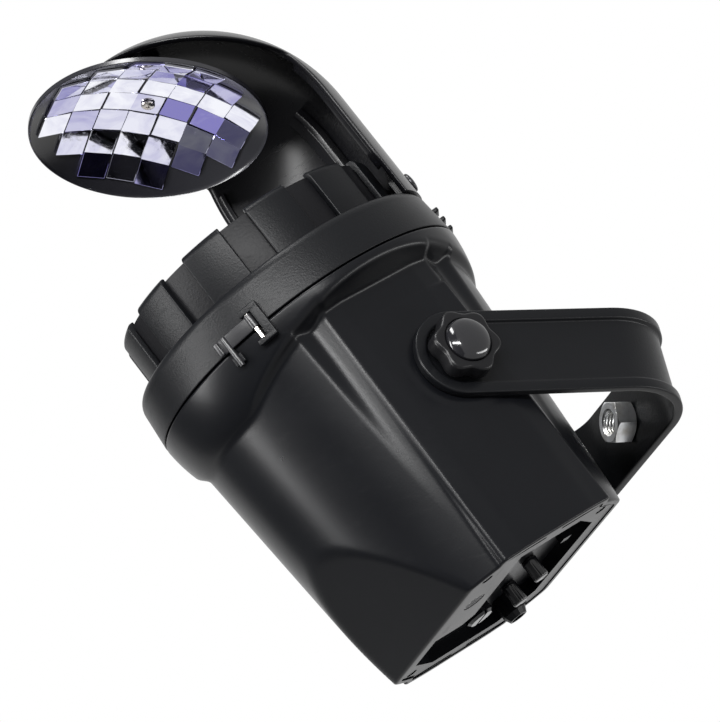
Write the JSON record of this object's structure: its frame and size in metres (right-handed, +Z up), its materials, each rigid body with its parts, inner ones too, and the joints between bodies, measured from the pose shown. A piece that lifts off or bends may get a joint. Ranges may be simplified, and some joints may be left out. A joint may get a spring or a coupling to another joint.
{
  "type": "disco light",
  "caption": "Stage disco light: a spot lamp that shines onto a turning dish of mirror tiles under its hood, hung and tilted in a moulded yoke",
  "frame": {"origin": "centre of the clamp hole in the yoke's crossbar, on the plane of its upper rib tops", "axes": "+Z up the yoke toward the clamp that holds it; +X along the tilt pivots to the side with the catch; the lamp shines toward -Y and down"},
  "size_m": [0.1586, 0.2806, 0.2417],
  "materials": {
    "satin_black": "satin moulded plastic",
    "texture_black": "fine spark-eroded texture on moulded plastic",
    "gloss_black": "polished moulded plastic",
    "mirror": "silvered glass tiles",
    "zinc": "bright zinc plate",
    "black_steel": "blackened steel",
    "brass": "turned brass",
    "fibre": "pressed fibre washer",
    "clear_glass": "polished glass",
    "violet_glass": "coated colour filter",
    "aluminium": "bright aluminium sheet",
    "ceramic": "steatite ceramic",
    "enamelled_copper": "enamelled copper wire under tape",
    "board": "glass-fibre circuit board",
    "capacitor_sleeve": "sleeved aluminium can"
  },
  "bodies": {
    "yoke": {"yoke": "satin_black", "clamp_nut": "zinc"},
    "housing": {"rear_housing": "satin_black", "near_pivot_insert": "brass", "near_friction_washer": "fibre", "far_pivot_insert": "brass", "far_friction_washer": "fibre", "front_ring": "texture_black", "catch_block": "satin_black", "catch_saddle": "satin_black", "catch_pin": "zinc", "vent_crown": "texture_black", "front_baffle": "texture_black", "lens_tube": "satin_black", "objective_lens": "clear_glass", "lens_retainer": "black_steel", "colour_filter": "violet_glass", "hood": "satin_black", "hood_screw_1": "satin_black", "hood_screw_2": "satin_black", "wire_duct": "satin_black", "dish_motor": "zinc", "motor_screw_1": "zinc", "motor_screw_2": "zinc", "rear_cover": "satin_black", "cover_screw_1": "black_steel", "cover_screw_2": "black_steel", "cover_screw_3": "black_steel", "cover_screw_4": "black_steel", "sound_control": "zinc", "speed_control": "zinc", "switch_body": "zinc", "cable_gland": "satin_black", "gland_nut": "satin_black", "fuse_holder": "gloss_black", "microphone": "zinc", "microphone_grille": "black_steel", "chassis_plate": "aluminium", "reflector": "aluminium", "lamp_capsule": "clear_glass", "lamp_socket": "ceramic", "transformer_core": "black_steel", "transformer_coil": "enamelled_copper", "circuit_board": "board", "capacitor_1": "capacitor_sleeve", "capacitor_2": "capacitor_sleeve"},
    "near_knob": {"near_clamp_knob": "satin_black", "near_knob_cap": "gloss_black", "near_clamp_stud": "zinc"},
    "far_knob": {"far_clamp_knob": "satin_black", "far_knob_cap": "gloss_black", "far_clamp_stud": "zinc"},
    "dish": {"mirror_dish": "mirror", "dish_screw": "zinc"},
    "sound_knob": {"sound_knob": "gloss_black"},
    "speed_knob": {"speed_knob": "gloss_black"},
    "mode_switch": {"mode_switch": "satin_black"},
    "catch_lever": {"catch_lever": "satin_black"}
  },
  "joints": [
    {"name": "tilt", "type": "hinge", "parent": "yoke", "child": "housing", "pos_m": [0, 0, -0.1095], "axis": [1, 0, 0], "range_deg": [-55, 60]},
    {"name": "near_knob_turn", "type": "hinge", "parent": "housing", "child": "near_knob", "pos_m": [0.07, 0, -0.1095], "axis": [1, 0, 0], "range_deg": [0, 540]},
    {"name": "far_knob_turn", "type": "hinge", "parent": "housing", "child": "far_knob", "pos_m": [-0.07, 0, -0.1095], "axis": [-1, 0, 0], "range_deg": [0, 540]},
    {"name": "dish_spin", "type": "hinge", "parent": "housing", "child": "dish", "pos_m": [0, -0.16414, -0.18841], "axis": [0, -0.9829, 0.184], "continuous": true},
    {"name": "sound_turn", "type": "hinge", "parent": "housing", "child": "sound_knob", "pos_m": [0.00648, 0.06747, -0.0717], "axis": [0, -0.9003, -0.4352], "range_deg": [-150, 150]},
    {"name": "speed_turn", "type": "hinge", "parent": "housing", "child": "speed_knob", "pos_m": [-0.01632, 0.06747, -0.0717], "axis": [0, -0.9003, -0.4352], "range_deg": [-150, 150]},
    {"name": "mode_slide", "type": "slide", "parent": "housing", "child": "mode_switch", "axis": [1, 0, 0], "range_m": [0, 0.003]},
    {"name": "catch_flip", "type": "hinge", "parent": "housing", "child": "catch_lever", "pos_m": [0.05513, -0.02219, -0.19134], "axis": [0, -0.9003, -0.4352], "range_deg": [0, 80]}
  ]
}
